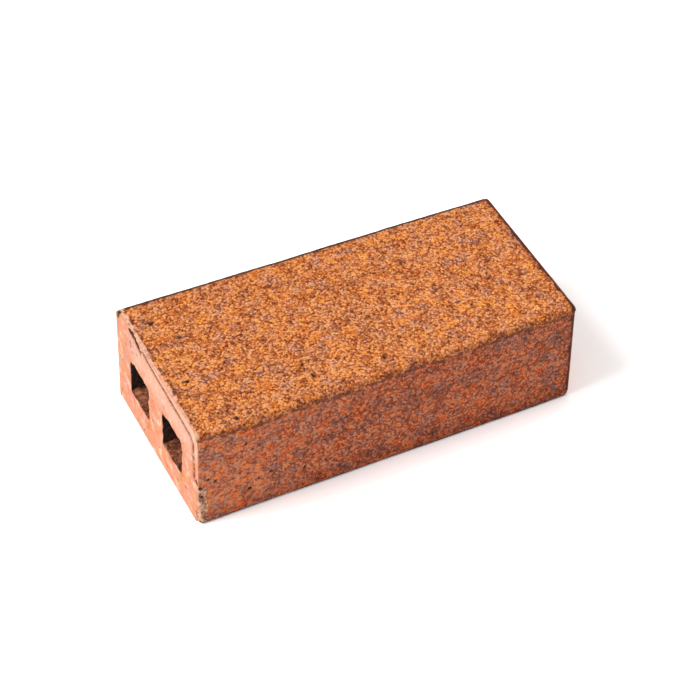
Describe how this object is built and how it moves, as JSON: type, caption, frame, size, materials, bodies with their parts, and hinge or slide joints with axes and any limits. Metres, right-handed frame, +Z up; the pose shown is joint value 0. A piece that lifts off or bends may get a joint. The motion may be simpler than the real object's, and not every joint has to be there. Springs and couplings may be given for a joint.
{
  "type": "clay brick",
  "caption": "Cored facing brick of fired clay, speckled orange-brown, with rectangular cores running from end to end, for masonry and paving.",
  "frame": {"origin": "middle of the face that the brick lies on", "axes": "+X along the brick and its cores, +Y from the front face to the back face, +Z up through the brick's height"},
  "size_m": [0.21, 0.1, 0.06],
  "materials": {
    "fired_clay": "matt fired clay, orange and rust brown grains with dark specks, pale pink where cut"
  },
  "bodies": {
    "root": {"brick": "fired_clay"}
  },
  "joints": []
}
